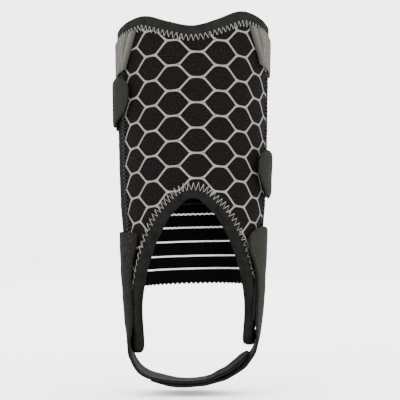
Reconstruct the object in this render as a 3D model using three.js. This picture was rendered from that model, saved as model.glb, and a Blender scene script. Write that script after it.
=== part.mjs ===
// Ankle brace: a padded half-tube over the shin and ankle, open behind, held by straps round the
// back and by a stirrup strap under the foot. Millimetres and degrees.
// The origin is on the leg's axis at the ankle bone, +Z up the leg, -Y to the toes.
// A place on the leg is an angle (0 in front, positive to +X), a height and a lift off the panel.
import * as THREE from 'three';

// Leg and panel
const calfRadius = 49.3;
const ankleRadius = 39.5;
const frontHeight = 143.9;
const edgeRise = 10.2;
const panelWall = 4;
const panelHalfAngle = 91;
const legTop = 150;

// Arch over the instep, and the two wings beside it
const archApex = 35.8;
const leftArchAngle = 58.5;
const rightArchAngle = 61.5;
const wingCorner = -53;
const leftWingBulge = 13.3;
const rightWingBulge = 8.8;
const wingSquareness = 2.7;

// Layers
const gap = 0.35;
const facetSlack = 0.15;
const bindingGap = 0.45;
const bindingWall = 0.8;
const topBindingWidth = 6.8;
const archBindingWidth = 5.5;
const wingBindingWidth = 6.3;
const sideBindingWidth = 7;
const leftBandWidth = 20;
const leftBandFoot = 9;
const flapStep = 5;
const strapWall = 1.2;
const tabWall = 1.6;
const elasticWall = 1.5;

// Elastic across the back
const elasticBottom = -25;
const elasticTop = 38;

// Strap round the top
const topStrapWidth = 22.5;
const topStrapFront = 46;
const topStrapSlant = 13;

// Upper strap, fastened on the left
const upperStrapWidth = 34;
const upperStrapDrop = 31.9;
const upperStrapBottom = frontHeight - upperStrapDrop - upperStrapWidth;
const upperTabFront = 56;

// Lower strap, fastened on the right
const lowerStrapWidth = 33;
const lowerStrapStart = 40;
const lowerStrapEnd = 33.5;
const lowerTabFront = 55;

// Stirrup under the foot
const stirrupTop = 12;
const stirrupSlack = 6.5;
const stirrupHalfWidth = ankleRadius + stirrupSlack;
const stirrupDepth = 84.9;
const soleBandWidth = 40;
const soleBandCentre = -2;
const soleDip = 2.4;
const slingWall = 2;
const tabStrapWall = 1.7;
const patchWall = 0.8;
const patchBottom = -45;
const sideBlendStart = -40;
const sideBlendEnd = -72;

// Panel's outer radius up the leg: height as a share of legTop, girth from ankle (0) to calf (1)
const legProfile = [
  { height: -0.65, girth: -0.05 },
  { height: -0.467, girth: 0 },
  { height: -0.4, girth: 0.11 },
  { height: -0.3, girth: 0.265 },
  { height: -0.18, girth: 0.41 },
  { height: -0.047, girth: 0.52 },
  { height: 0.08, girth: 0.6 },
  { height: 0.2, girth: 0.745 },
  { height: 0.4, girth: 0.86 },
  { height: 0.733, girth: 0.94 },
  { height: 1, girth: 1 },
  { height: 1.1, girth: 1.01 },
];

// Top edge: angle as a share of panelHalfAngle, rise over the front dip as a share of edgeRise
const topEdge = [
  { around: -1, rise: -0.07 },
  { around: -0.57, rise: 0.6 },
  { around: -0.42, rise: 0.7 },
  { around: -0.21, rise: 0.28 },
  { around: 0, rise: 0 },
  { around: 0.2, rise: 0.39 },
  { around: 0.4, rise: 0.96 },
  { around: 0.51, rise: 1 },
  { around: 0.79, rise: 0.57 },
  { around: 1, rise: 0.17 },
];

// Half of the arch: way down from apex (0) to wing corner (1), spread as a share of its side's angle
const archEdge = [
  { along: 0, down: 0, spread: 0 },
  { along: 0.045, down: 0.012, spread: 0.105 },
  { along: 0.09, down: 0.068, spread: 0.222 },
  { along: 0.15, down: 0.125, spread: 0.338 },
  { along: 0.25, down: 0.22, spread: 0.475 },
  { along: 0.35, down: 0.32, spread: 0.6 },
  { along: 0.45, down: 0.43, spread: 0.715 },
  { along: 0.56, down: 0.54, spread: 0.825 },
  { along: 0.67, down: 0.66, spread: 0.925 },
  { along: 0.84, down: 0.83, spread: 1.045 },
  { along: 1, down: 1, spread: 1.07 },
];

// Where the panel's outer rim stands opposite the arch: along the arch as above, height of the rear
// edge from wing corner (0) to top corner (1), then the share of the top edge from rear to centre
const topShare = 0.35;
const rimMatch = [
  { along: 0, rear: 1, top: 1 },
  { along: 0.045, rear: 1, top: 0.87 },
  { along: 0.09, rear: 1, top: 0.7 },
  { along: 0.15, rear: 1, top: 0.48 },
  { along: 0.25, rear: 1, top: 0.2 },
  { along: topShare, rear: 1, top: 0 },
  { along: 0.45, rear: 0.76, top: 0 },
  { along: 0.56, rear: 0.55, top: 0 },
  { along: 0.67, rear: 0.36, top: 0 },
  { along: 0.84, rear: 0.16, top: 0 },
  { along: 1, rear: 0, top: 0 },
];

// Width of the arch's binding from archBindingWidth (0) to wingBindingWidth (1), down the arch
const archBindingSpread = [
  { down: 0, share: 0 },
  { down: 0.3, share: 0.3 },
  { down: 0.6, share: 1 },
  { down: 0.85, share: 1 },
  { down: 1, share: 0.15 },
  { down: 1.15, share: 0 },
];

// Lift of a strap's inner face on its way from the edge that it is sewn to (0) to its tab (1)
const strapLift = [
  { along: 0, lift: -1 },
  { along: 0.1, lift: -0.8 },
  { along: 0.35, lift: 0.4 },
  { along: 0.6, lift: 1 },
  { along: 1, lift: 1 },
];

// Inner face of the sling: side as a share of stirrupHalfWidth, drop as a share of stirrupDepth
const slingLine = [
  { side: -0.956, drop: 0.46 },
  { side: -0.936, drop: 0.59 },
  { side: -0.915, drop: 0.7 },
  { side: -0.886, drop: 0.79 },
  { side: -0.852, drop: 0.83 },
  { side: -0.807, drop: 0.877 },
  { side: -0.735, drop: 0.925 },
  { side: -0.61, drop: 0.965 },
  { side: -0.44, drop: 0.985 },
  { side: -0.27, drop: 0.995 },
  { side: -0.09, drop: 1 },
  { side: 0.1, drop: 0.992 },
  { side: 0.25, drop: 0.977 },
  { side: 0.36, drop: 0.95 },
  { side: 0.5, drop: 0.92 },
  { side: 0.68, drop: 0.85 },
  { side: 0.775, drop: 0.81 },
];

// Inner face of the tab strap beyond the sling, in the same shares
const tabStrapLine = [
  { side: 0.42, drop: 0.98 },
  { side: 0.52, drop: 0.955 },
  { side: 0.62, drop: 0.925 },
  { side: 0.72, drop: 0.885 },
  { side: 0.79, drop: 0.84 },
  { side: 0.86, drop: 0.785 },
  { side: 0.9, drop: 0.73 },
  { side: 0.93, drop: 0.67 },
  { side: 0.95, drop: 0.6 },
  { side: 0.965, drop: 0.46 },
];

// Front and rear edges of the stirrup's side pieces: height as a share of stirrupTop, angles
const slingEdges = [
  { height: -6, front: 60, rear: 104 },
  { height: -2.5, front: 58, rear: 105 },
  { height: -0.6, front: 54, rear: 105 },
  { height: 0, front: 51, rear: 105 },
  { height: 1, front: 48, rear: 104 },
];
const tabStrapEdges = [
  { height: -6, front: 61, rear: 106 },
  { height: -3.3, front: 64, rear: 109 },
  { height: -1.5, front: 61, rear: 108 },
  { height: -0.6, front: 55, rear: 104 },
  { height: 0, front: 49, rear: 98 },
  { height: 0.6, front: 47.5, rear: 94 },
  { height: 1.3, front: 48.5, rear: 92 },
];

// Smooth value of a table's column, read along another column
function readTable(rows, along, column, at) {
  const last = rows.length - 1;
  const place = THREE.MathUtils.clamp(at, rows[0][along], rows[last][along]);
  let i = 0;
  while (i < last - 1 && rows[i + 1][along] < place) i++;
  const slope = (k) => {
    const before = rows[Math.max(k - 1, 0)];
    const after = rows[Math.min(k + 1, last)];
    return (after[column] - before[column]) / (after[along] - before[along]);
  };
  const step = rows[i + 1][along] - rows[i][along];
  const t = (place - rows[i][along]) / step;
  const startPull = t * (1 - t) * (1 - t) * step * slope(i);
  const endPull = t * t * (1 - t) * step * slope(i + 1);
  const ease = t * t * (3 - 2 * t);
  return rows[i][column] * (1 - ease) + rows[i + 1][column] * ease + startPull - endPull;
}

function panelRadius(height) {
  const girth = readTable(legProfile, 'height', 'girth', height / legTop);
  return ankleRadius + (calfRadius - ankleRadius) * girth;
}

function onLeg(angle, height, lift) {
  const turn = THREE.MathUtils.degToRad(angle);
  const radius = panelRadius(height) + lift;
  return new THREE.Vector3(radius * Math.sin(turn), -radius * Math.cos(turn), height);
}

// How far a round end bulges at v across the strap, 0 at its corners and 1 in the middle
function roundEnd(v) {
  return Math.sqrt(Math.max(0, 1 - (2 * v - 1) ** 2));
}

// Steps from 0 to 1 that crowd at both ends, so that round ends stay round
function crowded(count) {
  return Array.from({ length: count + 1 }, (_, i) => (1 - Math.cos((Math.PI * i) / count)) / 2);
}

function even(count) {
  return Array.from({ length: count + 1 }, (_, i) => i / count);
}

// Geometry from points and faces, turned inside out if its volume comes out negative
function closedGeometry(points, faces) {
  let volume = 0;
  for (const [a, b, c] of faces) {
    volume += points[a].dot(new THREE.Vector3().crossVectors(points[b], points[c]));
  }
  const outward = volume > 0 ? faces : faces.map(([a, b, c]) => [a, c, b]);
  const geometry = new THREE.BufferGeometry();
  geometry.setAttribute('position', new THREE.Float32BufferAttribute(points.flatMap((p) => p.toArray()), 3));
  geometry.setIndex(outward.flat());
  geometry.computeVertexNormals();
  return geometry;
}

// Closed body between an inner skin (face 0) and an outer one (face 1) over a grid of u and v
function shell(us, vs, point) {
  const points = [];
  for (const face of [0, 1]) {
    for (const u of us) {
      for (const v of vs) points.push(point(u, v, face));
    }
  }
  const lastU = us.length - 1;
  const lastV = vs.length - 1;
  const at = (face, i, j) => (face * us.length + i) * vs.length + j;
  const faces = [];
  const quad = (a, b, c, d) => faces.push([a, b, c], [a, c, d]);
  for (let i = 0; i < lastU; i++) {
    for (let j = 0; j < lastV; j++) {
      quad(at(1, i, j), at(1, i + 1, j), at(1, i + 1, j + 1), at(1, i, j + 1));
      quad(at(0, i, j), at(0, i, j + 1), at(0, i + 1, j + 1), at(0, i + 1, j));
    }
    quad(at(0, i, 0), at(0, i + 1, 0), at(1, i + 1, 0), at(1, i, 0));
    quad(at(1, i, lastV), at(1, i + 1, lastV), at(0, i + 1, lastV), at(0, i, lastV));
  }
  for (let j = 0; j < lastV; j++) {
    quad(at(1, 0, j), at(1, 0, j + 1), at(0, 0, j + 1), at(0, 0, j));
    quad(at(0, lastU, j), at(0, lastU, j + 1), at(1, lastU, j + 1), at(1, lastU, j));
  }
  return closedGeometry(points, faces);
}

// Closed body swept through rings that all have the section's corners
function sweep(rings, section) {
  const corners = section.length;
  const faces = [];
  for (let i = 0; i + 1 < rings.length; i++) {
    for (let k = 0; k < corners; k++) {
      const next = (k + 1) % corners;
      const here = i * corners;
      const there = here + corners;
      faces.push([here + k, there + k, there + next], [here + k, there + next, here + next]);
    }
  }
  const end = (rings.length - 1) * corners;
  for (const [a, b, c] of THREE.ShapeUtils.triangulateShape(section, [])) {
    faces.push([a, b, c], [end + a, end + c, end + b]);
  }
  return closedGeometry(rings.flat(), faces);
}

// The arch's edge at along from 0 (apex) to 1 (wing corner), on side -1 (left) or 1 (right)
function archPoint(along, side) {
  const down = readTable(archEdge, 'along', 'down', along);
  const spread = readTable(archEdge, 'along', 'spread', along);
  return {
    angle: side * (side < 0 ? leftArchAngle : rightArchAngle) * spread,
    height: archApex + (wingCorner - archApex) * down,
  };
}

function topPoint(angle) {
  const rise = readTable(topEdge, 'around', 'rise', angle / panelHalfAngle);
  return { angle, height: frontHeight + edgeRise * rise };
}

function rearPoint(share, side) {
  const angle = side * panelHalfAngle;
  const corner = topPoint(angle).height;
  return { angle, height: wingCorner + (corner - wingCorner) * share };
}

// The rim opposite an arch point: on the rear edge, then over the top
function rimPoint(along, side) {
  const rear = readTable(rimMatch, 'along', 'rear', along);
  const top = THREE.MathUtils.clamp(readTable(rimMatch, 'along', 'top', along), 0, 1);
  if (top > 0) return topPoint(side * panelHalfAngle * (1 - top));
  return rearPoint(Math.min(rear, 1), side);
}

// The same for the wings' ends, which are squarer
function wingEnd(v) {
  return (1 - Math.abs(2 * v - 1) ** wingSquareness) ** (1 / wingSquareness);
}

// How far the wings' ends bulge down at a station of the panel
function wingBulge(along, side) {
  const bulge = side < 0 ? leftWingBulge : rightWingBulge;
  return bulge * Math.max(0, (along - 0.97) / 0.03);
}

// Panel's grid: u from -1 (left wing) over the arch (0) to 1 (right wing), v from arch to rim
function panelPoint(u, v) {
  const side = u < 0 ? -1 : 1;
  const along = Math.abs(u);
  const inner = archPoint(along, side);
  const outer = rimPoint(along, side);
  const base = THREE.MathUtils.lerp(inner.height, outer.height, v);
  return {
    angle: THREE.MathUtils.lerp(inner.angle, outer.angle, v),
    height: base - wingBulge(along, side) * wingEnd(v),
  };
}

const panelStations = [
  -1, -0.97, -0.93, -0.88, -0.82, -0.75, -0.67, -0.6, -0.56, -0.5, -0.45, -0.4, -0.35, -0.3, -0.25,
  -0.2, -0.175, -0.15, -0.12, -0.09, -0.0675, -0.045, -0.0225, 0,
];

const panelColumns = [...panelStations, ...panelStations.slice(0, -1).map((u) => -u).reverse()];
const panelRows = crowded(11);

function frontPanel() {
  return shell(panelColumns, panelRows, (u, v, face) => {
    const place = panelPoint(u, v);
    return onLeg(place.angle, place.height, face === 1 ? 0 : -panelWall);
  });
}

// Section of a folded binding: across from the edge, and lift; its flaps lie outside and inside
function bindingSection(outerWidth, innerWidth, widest) {
  const out = bindingGap + bindingWall;
  const under = -panelWall;
  const round = panelWall / 4;
  const steps = even(Math.ceil(widest / flapStep)).slice(1, -1);
  return [
    [outerWidth, out], ...steps.map((t) => [outerWidth * (1 - t), out]),
    [0, out], [-out * 0.75, out * 0.25], [-out, -round],
    [-out, under + round], [-out * 0.75, under - out * 0.25], [0, under - out],
    [innerWidth, under - out], [innerWidth, under - bindingGap], [-bindingGap, under - bindingGap],
    [-bindingGap, bindingGap], ...steps.map((t) => [outerWidth * t, bindingGap]),
    [outerWidth, bindingGap],
  ].map(([across, lift]) => new THREE.Vector2(across, lift));
}

// A folded binding along a path of places, with the panel on its left hand (-1) or its right (1)
function binding(path, hand, outerWidth, innerWidth) {
  const widest = Math.max(...path.map(outerWidth));
  const rings = path.map((place, i) => {
    const before = path[Math.max(i - 1, 0)];
    const after = path[Math.min(i + 1, path.length - 1)];
    const degree = THREE.MathUtils.degToRad(panelRadius(place.height));
    const way = new THREE.Vector2((after.angle - before.angle) * degree, after.height - before.height);
    way.normalize();
    return bindingSection(outerWidth(place), innerWidth(place), widest).map((corner) => {
      const angle = place.angle - (hand * way.y * corner.x) / degree;
      return onLeg(angle, place.height + hand * way.x * corner.x, corner.y);
    });
  });
  return sweep(rings, bindingSection(outerWidth(path[0]), innerWidth(path[0]), widest));
}

// The bindings' paths run through the panel's own edge points, so that both bend alike
function topBinding() {
  const path = panelColumns.filter((u) => Math.abs(u) <= topShare).map((u) => panelPoint(u, 1));
  const width = () => topBindingWidth;
  return binding(path, -1, width, width);
}

function archBinding() {
  const leftLobe = panelRows.map((v) => panelPoint(-1, v)).reverse();
  const arch = panelColumns.slice(1, -1).map((u) => panelPoint(u, 0));
  const rightLobe = panelRows.map((v) => panelPoint(1, v));
  const width = (place) => {
    const down = (archApex - place.height) / (archApex - wingCorner);
    const share = readTable(archBindingSpread, 'down', 'share', down);
    return THREE.MathUtils.lerp(archBindingWidth, wingBindingWidth, share);
  };
  return binding([...leftLobe, ...arch, ...rightLobe], 1, width, () => archBindingWidth);
}

// A side binding's outer flap is `foot` wide at the wing's corner and `width` wide from the ankle up
function sideBinding(side, width, foot) {
  const top = topPoint(side * panelHalfAngle).height - topBindingWidth - gap;
  const bottom = wingCorner + archBindingWidth + gap;
  const places = even(20).map((t) => ({
    angle: side * panelHalfAngle,
    height: THREE.MathUtils.lerp(bottom, top, t),
  }));
  const outerWidth = (place) => THREE.MathUtils.lerp(
    foot, width, THREE.MathUtils.smoothstep(place.height, wingCorner, 0));
  return binding(places, side, outerWidth, () => sideBindingWidth);
}

// Angle of a piece that is butted to the side binding, behind the panel's rear edge
const butted = panelHalfAngle + THREE.MathUtils.radToDeg((bindingGap + bindingWall + gap) / ankleRadius);
const sewnLift = -(panelWall + strapWall) / 2;
const overBinding = bindingGap + bindingWall + gap;

function backElastic() {
  const inner = -(panelWall + elasticWall) / 2;
  return shell(even(30), even(4), (u, v, face) => onLeg(
    THREE.MathUtils.lerp(butted, 360 - butted, u),
    THREE.MathUtils.lerp(elasticBottom, elasticTop, v),
    inner + face * elasticWall));
}

// Upper edge of the top strap: under the top binding on the panel, straight across the back
function topStrapEdge(angle) {
  const below = topBindingWidth + gap;
  if (Math.abs(180 - angle) >= 180 - panelHalfAngle) {
    return topPoint(angle > 180 ? angle - 360 : angle).height - below;
  }
  const across = (angle - panelHalfAngle) / (360 - 2 * panelHalfAngle);
  const right = topPoint(panelHalfAngle).height;
  return THREE.MathUtils.lerp(right, topPoint(-panelHalfAngle).height, across) - below;
}

// The top strap lies on the panel in front and steps up over the side bindings
function topStrap() {
  const bandFront = panelHalfAngle - THREE.MathUtils.radToDeg(leftBandWidth / ankleRadius);
  return shell(even(40), even(2), (u, v, face) => {
    const front = topStrapFront + topStrapSlant * (1 - v);
    const angle = THREE.MathUtils.lerp(front, 360 - front, u);
    const turn = Math.min(angle, 360 - angle);
    const step = THREE.MathUtils.smoothstep(turn, topStrapFront, bandFront);
    const lift = THREE.MathUtils.lerp(gap, overBinding, step);
    return onLeg(angle, topStrapEdge(angle) - topStrapWidth * (1 - v), lift + face * strapWall);
  });
}

// A strap from the rear edge on side `from`, round the back and over the other rear edge
function backStrap(from, width, startBottom, endBottom, frontAngle) {
  const sweepAngle = 360 - butted - frontAngle;
  return shell(even(36), even(3), (u, v, face) => {
    const angle = from * (butted + sweepAngle * u);
    const rise = readTable(strapLift, 'along', 'lift', u);
    const lift = rise < 0 ? -rise * sewnLift + (1 + rise) * overBinding : overBinding;
    return onLeg(angle, THREE.MathUtils.lerp(startBottom, endBottom, u) + width * v,
      Math.min(lift, overBinding) + face * strapWall);
  });
}

// A hook tab lying on a strap's end, round in front, with its free end lifted a little
function hookTab(side, width, bottom, frontAngle, tail, flare) {
  const corner = 9;
  return shell(even(10), crowded(8), (u, v, face) => {
    const front = frontAngle + corner * (1 - roundEnd(v));
    const angle = THREE.MathUtils.lerp(tail, front, u);
    const lift = overBinding + strapWall + gap + flare * u * u;
    return onLeg(side * angle, bottom + width * v, lift + face * tabWall);
  });
}

function curveThrough(rows) {
  return new THREE.SplineCurve(rows.map((row) => new THREE.Vector2(
    row.side * stirrupHalfWidth, -row.drop * stirrupDepth)));
}

// A point of the stirrup: the sole's flat band, blended up the sides into the leg's round
function stirrupPoint(spot, normal, v, out, edges, legLift) {
  const side = Math.sign(spot.x);
  const flat = new THREE.Vector3(
    spot.x + normal.x * out,
    soleBandCentre + soleBandWidth * (v - 0.5),
    spot.y + normal.y * out);
  const middle = Math.max(0, 1 - (spot.x / (stirrupHalfWidth * 0.75)) ** 2);
  flat.z -= soleDip * v * middle * middle;
  const height = Math.max(spot.y, sideBlendEnd);
  const front = readTable(edges, 'height', 'front', height / stirrupTop);
  const rear = readTable(edges, 'height', 'rear', height / stirrupTop);
  const round = onLeg(side * THREE.MathUtils.lerp(front, rear, v), spot.y, legLift + out);
  const blend = THREE.MathUtils.smoothstep(spot.y, sideBlendEnd, sideBlendStart);
  return flat.lerp(round, blend);
}

// A band through the spots of an inner line, its outer face on the right hand of its way
function stirrupBand(spots, vs, wall, edges, legLift, finish) {
  const us = spots.map((_, i) => i);
  return shell(us, vs, (i, v, face) => {
    const before = spots[Math.max(i - 1, 0)];
    const after = spots[Math.min(i + 1, spots.length - 1)];
    const way = after.clone().sub(before).normalize();
    const normal = new THREE.Vector2(way.y, -way.x);
    const spot = finish ? finish(spots[i], way, i, v) : spots[i];
    return stirrupPoint(spot, normal, v, face * wall, edges, legLift);
  });
}

function sideSpots(side, from, to, count) {
  return even(count).map((t) => new THREE.Vector2(
    side * stirrupHalfWidth, THREE.MathUtils.lerp(from, to, t)));
}

function slingSpots() {
  const curve = curveThrough(slingLine);
  const top = curve.getPointAt(0).y;
  return [...sideSpots(-1, stirrupTop, top, 6).slice(0, -1), ...even(30).map((t) => curve.getPointAt(t))];
}

function stirrupSling() {
  const spots = slingSpots();
  const last = spots.length - 1;
  const endCorner = 9;
  const endLength = 5;
  const finish = (spot, way, i, v) => {
    const share = Math.max(0, (i - last + endLength) / endLength);
    return spot.clone().addScaledVector(way, -endCorner * share * (1 - roundEnd(v)));
  };
  return stirrupBand(spots, crowded(8), slingWall, slingEdges, overBinding + facetSlack, finish);
}

// The tab strap starts under the sling, follows it and then rises outside the right wing
function tabStrapSpots() {
  const sling = curveThrough(slingLine);
  const clear = slingWall + gap + facetSlack;
  const under = even(10).map((t) => {
    const share = THREE.MathUtils.lerp(0.42, 0.72, t);
    const way = sling.getTangentAt(share);
    return sling.getPointAt(share).add(new THREE.Vector2(way.y, -way.x).multiplyScalar(clear));
  });
  const free = tabStrapLine.map((row) => new THREE.Vector2(
    row.side * stirrupHalfWidth, -row.drop * stirrupDepth));
  const curve = new THREE.SplineCurve([...under, ...free]);
  const rise = curve.getPointAt(1).y;
  return [...even(30).map((t) => curve.getPointAt(t)), ...sideSpots(1, rise, stirrupTop - 3, 8).slice(1)];
}

function stirrupTabStrap() {
  const spots = tabStrapSpots();
  const last = spots.length - 1;
  const crown = 7;
  const crownLength = 4;
  const finish = (spot, way, i, v) => {
    const share = Math.max(0, (i - last + crownLength) / crownLength);
    return spot.clone().addScaledVector(way, crown * share * roundEnd(v));
  };
  const legLift = overBinding + patchWall + gap + facetSlack;
  return stirrupBand(spots, crowded(7), tabStrapWall, tabStrapEdges, legLift, finish);
}

function loopPatch() {
  const front = 62;
  const rear = 106;
  return shell(even(8), even(4), (u, v, face) => onLeg(
    THREE.MathUtils.lerp(front, rear, u),
    THREE.MathUtils.lerp(patchBottom, stirrupTop, v),
    overBinding + face * patchWall));
}

const looks = {
  knit: { color: 0x211d1e, roughness: 0.95, metalness: 0 },
  binding: { color: 0x383a36, roughness: 0.9, metalness: 0 },
  elastic: { color: 0x0c0b0e, roughness: 0.85, metalness: 0 },
  greyStrap: { color: 0x96958c, roughness: 0.9, metalness: 0 },
  blackStrap: { color: 0x232123, roughness: 0.9, metalness: 0 },
  tab: { color: 0x40433c, roughness: 0.95, metalness: 0 },
  sling: { color: 0x2c2a2b, roughness: 0.95, metalness: 0 },
};

const brace = new THREE.Group();

function addPiece(name, geometry, look) {
  const mesh = new THREE.Mesh(geometry, new THREE.MeshStandardMaterial(looks[look]));
  mesh.name = name;
  brace.add(mesh);
}

addPiece('front_panel', frontPanel(), 'knit');
addPiece('top_binding', topBinding(), 'binding');
addPiece('arch_binding', archBinding(), 'binding');
addPiece('left_side_binding', sideBinding(-1, leftBandWidth, leftBandFoot), 'binding');
addPiece('right_side_binding', sideBinding(1, sideBindingWidth, sideBindingWidth), 'binding');
addPiece('back_elastic', backElastic(), 'elastic');
addPiece('top_strap', topStrap(), 'greyStrap');
addPiece('upper_strap',
  backStrap(1, upperStrapWidth, upperStrapBottom, upperStrapBottom, panelHalfAngle - 12), 'blackStrap');
addPiece('upper_strap_tab',
  hookTab(-1, upperStrapWidth, upperStrapBottom, upperTabFront, panelHalfAngle + 8, 0), 'tab');
addPiece('lower_strap',
  backStrap(-1, lowerStrapWidth, lowerStrapStart, lowerStrapEnd, panelHalfAngle - 12), 'blackStrap');
addPiece('lower_strap_tab',
  hookTab(1, lowerStrapWidth, lowerStrapEnd, lowerTabFront, panelHalfAngle + 8, 0.8), 'tab');
addPiece('right_loop_patch', loopPatch(), 'tab');
addPiece('stirrup_sling', stirrupSling(), 'sling');
addPiece('stirrup_tab_strap', stirrupTabStrap(), 'tab');

export default brace;
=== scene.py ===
"""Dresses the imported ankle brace: padded knit panel with its honeycomb print, folded bindings with
zigzag stitches, striped elastic, straps with their tabs, and the stirrup under the foot.

Lengths are millimetres and angles degrees until a mesh is made. A place on the leg is an angle
(0 in front, positive to +X), a height over the ankle bone and a lift off the panel's outer face.
"""

import random
from bisect import bisect_left
from math import atan2, ceil, cos, degrees, exp, hypot, inf, pi, radians, sin, sqrt

import bmesh
import bpy
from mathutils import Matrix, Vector, noise


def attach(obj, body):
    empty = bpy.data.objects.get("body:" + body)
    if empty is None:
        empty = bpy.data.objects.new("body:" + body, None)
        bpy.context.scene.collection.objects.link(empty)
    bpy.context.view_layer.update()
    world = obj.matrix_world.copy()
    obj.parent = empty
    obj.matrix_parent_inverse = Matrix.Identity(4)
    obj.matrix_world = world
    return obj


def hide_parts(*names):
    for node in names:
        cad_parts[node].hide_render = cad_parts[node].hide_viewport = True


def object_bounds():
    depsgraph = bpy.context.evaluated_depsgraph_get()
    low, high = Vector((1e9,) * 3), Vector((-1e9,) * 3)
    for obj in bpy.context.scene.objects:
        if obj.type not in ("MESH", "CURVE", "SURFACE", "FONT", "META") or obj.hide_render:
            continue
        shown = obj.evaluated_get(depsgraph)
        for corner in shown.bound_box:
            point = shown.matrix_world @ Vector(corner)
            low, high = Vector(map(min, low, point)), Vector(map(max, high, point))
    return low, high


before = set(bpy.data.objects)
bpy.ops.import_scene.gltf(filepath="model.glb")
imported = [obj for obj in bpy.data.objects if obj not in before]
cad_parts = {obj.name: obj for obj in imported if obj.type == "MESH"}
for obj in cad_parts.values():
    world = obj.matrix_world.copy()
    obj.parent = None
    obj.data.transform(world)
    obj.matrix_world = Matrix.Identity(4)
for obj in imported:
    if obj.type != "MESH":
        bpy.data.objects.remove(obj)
cad_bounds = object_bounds()
random.seed(7)

MM = 0.001
# Points of a piece that are closer than this are made one
WELD = 0.0005
# Faces that meet at more than this many degrees show a sharp edge
SHARP_EDGE = 50

# The brace's own sizes, as in the part's source; the front is 1 mm lower, as its tape is plumper
CALF_RADIUS = 49.3
ANKLE_RADIUS = 39.5
LEG_TOP = 150
FRONT_HEIGHT = 142.9
EDGE_RISE = 10.2
PANEL_WALL = 4
PANEL_HALF_ANGLE = 91
ARCH_APEX = 35.8
ARCH_ANGLE = {-1: 58.5, 1: 61.5}
WING_CORNER = -53
WING_BULGE = {-1: 13.3, 1: 8.8}
WING_SQUARENESS = 2.7
BINDING_LIFT = 0.45
BINDING_WALL = 0.8
LAYER_GAP = 0.35
OVER_BINDING = BINDING_LIFT + BINDING_WALL + LAYER_GAP
STRAP_WALL = 1.2
TAB_WALL = 1.6

# (height as a share of LEG_TOP, girth from ankle 0 to calf 1)
LEG_PROFILE = [
    (-0.65, -0.05), (-0.467, 0), (-0.4, 0.11), (-0.3, 0.265), (-0.18, 0.41), (-0.047, 0.52),
    (0.08, 0.6), (0.2, 0.745), (0.4, 0.86), (0.733, 0.94), (1, 1), (1.1, 1.01),
]
# (angle as a share of PANEL_HALF_ANGLE, rise over the front dip as a share of EDGE_RISE)
TOP_EDGE = [
    (-1, -0.07), (-0.57, 0.6), (-0.42, 0.7), (-0.21, 0.28), (0, 0),
    (0.2, 0.39), (0.4, 0.96), (0.51, 1), (0.79, 0.57), (1, 0.17),
]
# (along half the arch, way down from apex 0 to wing corner 1, spread as a share of ARCH_ANGLE)
ARCH_EDGE = [
    (0, 0, 0), (0.045, 0.012, 0.105), (0.09, 0.068, 0.222), (0.15, 0.125, 0.338),
    (0.25, 0.22, 0.475), (0.35, 0.32, 0.6), (0.45, 0.43, 0.715), (0.56, 0.54, 0.825),
    (0.67, 0.66, 0.925), (0.84, 0.83, 1.045), (1, 1, 1.07),
]
# Along half the arch, the rim opposite is the top edge up to here, and then the rear edge
TOP_SHARE = 0.35
# (along half the arch, share of the rear edge, share of the top edge) of the rim opposite the arch
RIM_MATCH = [
    (0, 1, 1), (0.045, 1, 0.87), (0.09, 1, 0.7), (0.15, 1, 0.48), (0.25, 1, 0.2), (TOP_SHARE, 1, 0),
    (0.45, 0.76, 0), (0.56, 0.55, 0), (0.67, 0.36, 0), (0.84, 0.16, 0), (1, 0, 0),
]


def mix(a, b, share):
    return a + (b - a) * share


def clamp(value, low=0.0, high=1.0):
    return max(low, min(high, value))


def smoothstep(value, low, high):
    share = clamp((value - low) / (high - low))
    return share * share * (3 - 2 * share)


def read_table(rows, at, column=1):
    """Smooth value of a column, read along the first column."""
    last = len(rows) - 1
    place = clamp(at, rows[0][0], rows[last][0])
    i = 0
    while i < last - 1 and rows[i + 1][0] < place:
        i += 1

    def slope(k):
        before = rows[max(k - 1, 0)]
        after = rows[min(k + 1, last)]
        return (after[column] - before[column]) / (after[0] - before[0])

    step = rows[i + 1][0] - rows[i][0]
    t = (place - rows[i][0]) / step
    pulls = t * (1 - t) * step * ((1 - t) * slope(i) - t * slope(i + 1))
    return mix(rows[i][column], rows[i + 1][column], t * t * (3 - 2 * t)) + pulls


def even(count):
    return [i / count for i in range(count + 1)]


def from_ends(share, length):
    """How far a place along a length is from its nearer end."""
    return min(share, 1 - share) * length


def running_lengths(line):
    """How far each point of a line is along it."""
    lengths = [0.0]
    for before, after in zip(line, line[1:]):
        lengths.append(lengths[-1] + (after - before).length)
    return lengths


def stretch_at(lengths, gone):
    """The stretch of a line that a place lies in, and the share of that stretch before it."""
    i = clamp(bisect_left(lengths, gone) - 1, 0, len(lengths) - 2)
    return i, (gone - lengths[i]) / max(1e-9, lengths[i + 1] - lengths[i])


def crowded(count):
    """Steps from 0 to 1 that crowd at both ends, so that round ends stay round."""
    return [(1 - cos(pi * i / count)) / 2 for i in range(count + 1)]


def rimmed(count, length, rim=0.7):
    """Even steps with a few more close to both ends, for a rounded rim."""
    close = [rim * share / length for share in (0, 0.12, 0.45, 1)]
    inner = [mix(close[-1], 1 - close[-1], share) for share in even(count)]
    return close[:-1] + inner + [1 - share for share in reversed(close[:-1])]


def round_end(v):
    """How far a round end reaches at v across a strap: 0 at its corners, 1 in the middle."""
    return sqrt(max(0.0, 1 - (2 * v - 1) ** 2))


def panel_radius(height):
    return mix(ANKLE_RADIUS, CALF_RADIUS, read_table(LEG_PROFILE, height / LEG_TOP))


def on_leg(angle, height, lift):
    turn = radians(angle)
    radius = panel_radius(height) + lift
    return Vector((radius * sin(turn), -radius * cos(turn), height))


def outward(point):
    """The way off the leg at a point."""
    return Vector((point.x, point.y, 0)).normalized()


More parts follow.
